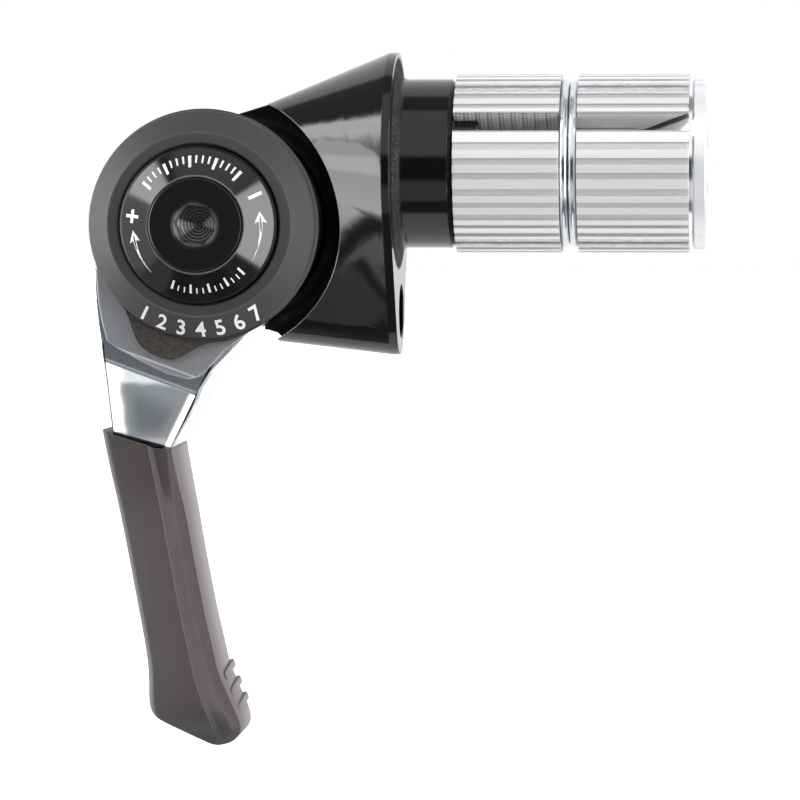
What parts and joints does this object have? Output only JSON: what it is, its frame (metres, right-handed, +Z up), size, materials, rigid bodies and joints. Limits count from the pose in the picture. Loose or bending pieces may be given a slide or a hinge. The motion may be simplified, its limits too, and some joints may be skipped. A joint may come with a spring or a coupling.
{
  "type": "bar-end shift lever",
  "caption": "Friction gear lever on a bracket that plugs into the open end of a road handlebar, with an expanding plug and a tension dial.",
  "frame": {"origin": "where the handlebar's axis meets the flange face that butts on the bar's end", "axes": "+X along the plug into the handlebar, +Z up with the lever hanging down, -Y the side that the lever's dial faces"},
  "size_m": [0.0661, 0.0291, 0.0768],
  "materials": {
    "bracket_paint": "gloss black paint over a casting",
    "steel": "plain machined steel",
    "washer_polymer": "black acetal",
    "drum_polymer": "black moulded nylon",
    "lever_polish": "polished aluminium",
    "grip_rubber": "matte dark grey rubber",
    "spring_steel": "bright spring wire",
    "friction_fibre": "brown friction fibre",
    "cover_black": "satin black anodised",
    "dial_gloss": "gloss black with white print",
    "seal_rubber": "black rubber",
    "bolt_black": "black oxide",
    "wedge_zinc": "smooth bright",
    "segment_alu": "bare broached aluminium"
  },
  "bodies": {
    "bracket": {"bracket_body": "bracket_paint", "pivot_post": "steel", "stop_pin": "steel", "base_washer": "washer_polymer", "cable_bush": "steel", "click_spring": "spring_steel", "keyed_washer": "steel", "disc_spring": "spring_steel", "top_washer": "steel", "fixing_bolt": "bolt_black", "bolt_washer": "steel", "ring_springs": "spring_steel"},
    "lever": {"lever_arm": "lever_polish", "rubber_grip": "grip_rubber", "cable_drum": "drum_polymer", "lever_bush": "washer_polymer", "ratchet_ring": "steel", "friction_washer": "friction_fibre", "cover_ring": "cover_black"},
    "dial": {"tension_dial": "dial_gloss", "dial_seal": "seal_rubber"},
    "pressure": {"pressure_plate": "steel"},
    "bolt": {"expander_bolt": "steel"},
    "wedge": {"expander_wedge": "wedge_zinc"},
    "plug_top": {"segment_top": "segment_alu"},
    "plug_front": {"segment_front": "segment_alu"},
    "plug_rear": {"segment_rear": "segment_alu"}
  },
  "joints": [
    {"name": "lever_swing", "type": "hinge", "parent": "bracket", "child": "lever", "pos_m": [-0.02015, 0, -0.0066], "axis": [0, 1, 0], "range_deg": [0, 110]},
    {"name": "dial_turn", "type": "hinge", "parent": "bracket", "child": "dial", "pos_m": [-0.02015, 0, -0.0066], "axis": [0, 1, 0], "range_deg": [-180, 180]},
    {"name": "pressure_travel", "type": "slide", "parent": "bracket", "child": "pressure", "axis": [0, 1, 0], "range_m": [-0.00026, 0.00026], "deforming": ["disc_spring"]},
    {"name": "bolt_turn", "type": "hinge", "parent": "bracket", "child": "bolt", "pos_m": [0, 0, 0], "axis": [1, 0, 0], "range_deg": [0, 460]},
    {"name": "wedge_travel", "type": "slide", "parent": "bracket", "child": "wedge", "axis": [-1, 0, 0], "range_m": [0, 0.0016]},
    {"name": "plug_top_travel", "type": "slide", "parent": "bracket", "child": "plug_top", "axis": [0, -0.0523, 0.9986], "range_m": [0, 0.0012], "deforming": ["ring_springs"]},
    {"name": "plug_front_travel", "type": "slide", "parent": "bracket", "child": "plug_front", "axis": [0, -0.8387, -0.5446], "range_m": [0, 0.0012]},
    {"name": "plug_rear_travel", "type": "slide", "parent": "bracket", "child": "plug_rear", "axis": [0, 0.891, -0.454], "range_m": [0, 0.0012]}
  ],
  "couplings": [
    {"joint": "pressure_travel", "follows": "dial_turn", "m_per_rad": 0.000079577},
    {"joint": "wedge_travel", "follows": "bolt_turn", "m_per_rad": 0.00019894},
    {"joint": "plug_top_travel", "follows": "bolt_turn", "m_per_rad": 0.00014921},
    {"joint": "plug_front_travel", "follows": "bolt_turn", "m_per_rad": 0.00014921},
    {"joint": "plug_rear_travel", "follows": "bolt_turn", "m_per_rad": 0.00014921}
  ]
}
